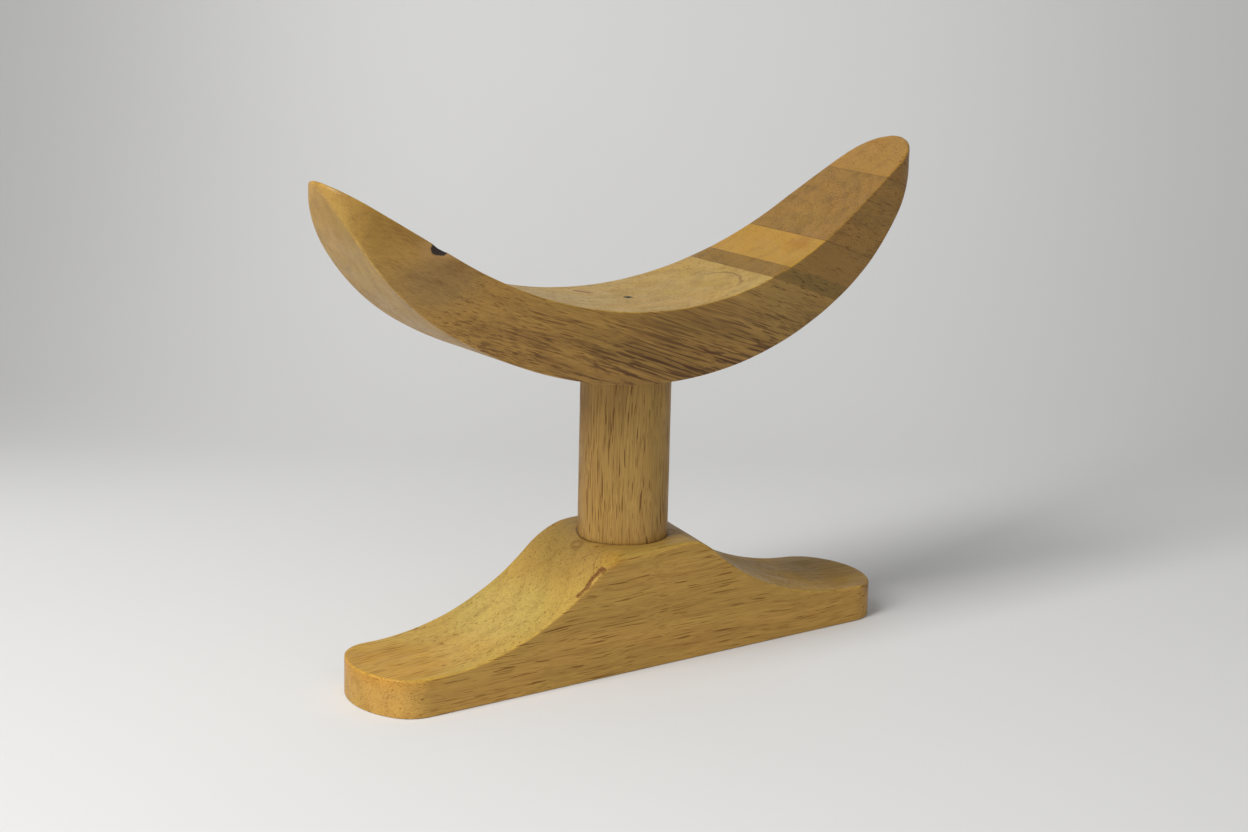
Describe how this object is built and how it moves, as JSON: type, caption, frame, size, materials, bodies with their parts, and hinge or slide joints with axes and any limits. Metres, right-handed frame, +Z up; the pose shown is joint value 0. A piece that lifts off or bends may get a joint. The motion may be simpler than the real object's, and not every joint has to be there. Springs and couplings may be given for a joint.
{
  "type": "wooden headrest",
  "caption": "Crescent-shaped wooden cradle on a round column and a long curved foot, a stand that props the neck or head of someone lying down.",
  "frame": {"origin": "on the column's axis, on the ground under the foot", "axes": "+Z up along the column, +X along the foot towards the wing with the glued-up boards, +Y across the foot"},
  "size_m": [0.2924, 0.061, 0.2104],
  "materials": {
    "foot_wood": "satin oiled",
    "column_wood": "satin oiled",
    "main_wood": "satin oiled",
    "dark_wood": "satin oiled",
    "yellow_wood": "satin oiled",
    "tan_wood": "satin oiled",
    "tip_wood": "satin oiled",
    "dowel_wood": "raw"
  },
  "bodies": {
    "root": {"foot": "foot_wood", "column": "column_wood", "cradle_main": "main_wood", "cradle_dark_board": "dark_wood", "cradle_yellow_board": "yellow_wood", "cradle_tan_board": "tan_wood", "cradle_tip_board": "tip_wood", "foot_dowel": "dowel_wood", "cradle_dowel": "dowel_wood"}
  },
  "joints": []
}
